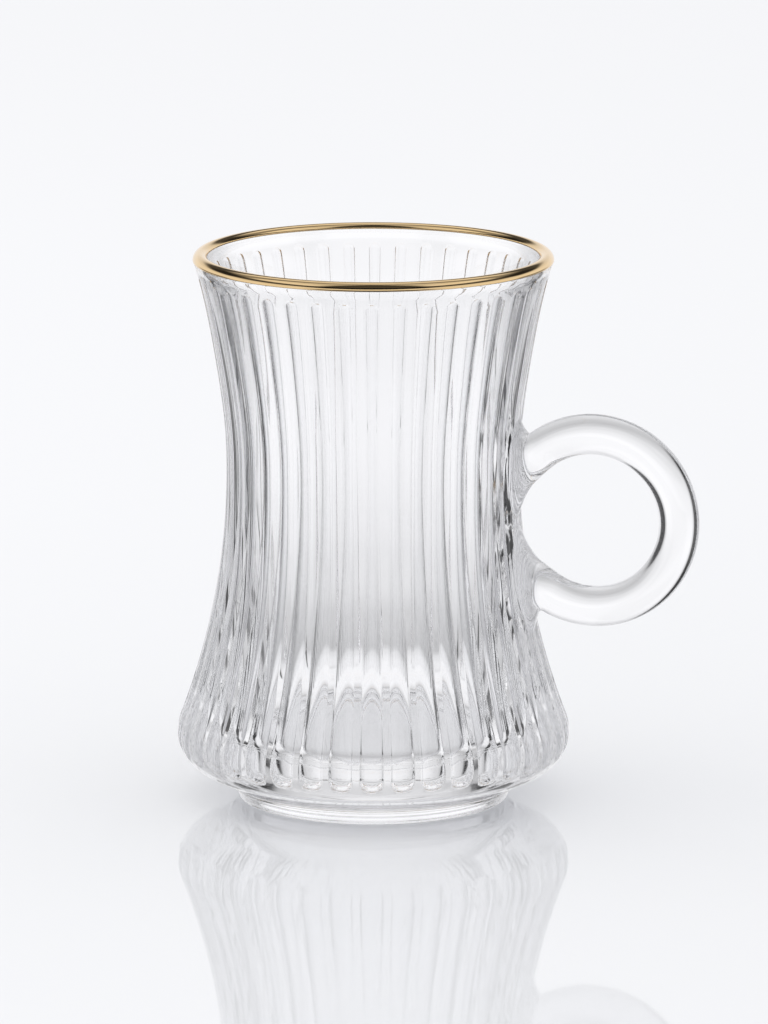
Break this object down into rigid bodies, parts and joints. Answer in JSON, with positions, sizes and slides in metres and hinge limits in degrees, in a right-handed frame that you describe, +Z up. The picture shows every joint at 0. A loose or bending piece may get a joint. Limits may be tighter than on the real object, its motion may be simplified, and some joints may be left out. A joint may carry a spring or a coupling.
{
  "type": "chai glass",
  "caption": "Small waisted tea glass with a fluted wall, a thick base on a low foot, a round ring handle and a gilded lip.",
  "frame": {"origin": "centre of the foot, on the bowl's axis, in the plane that the glass rests on", "axes": "+Z up along the bowl's axis towards the lip, +X out along the ring handle, +Y to the left of the handle seen from the bowl"},
  "size_m": [0.0918, 0.0682, 0.096],
  "materials": {
    "clear_glass": "clear colourless pressed glass, fire-polished smooth",
    "fired_gold": "bright fired gold, polished"
  },
  "bodies": {
    "root": {"fluted_bowl": "clear_glass", "foot": "clear_glass", "ring_handle": "clear_glass", "upper_handle_land": "clear_glass", "lower_handle_land": "clear_glass", "gold_rim": "fired_gold"}
  },
  "joints": []
}
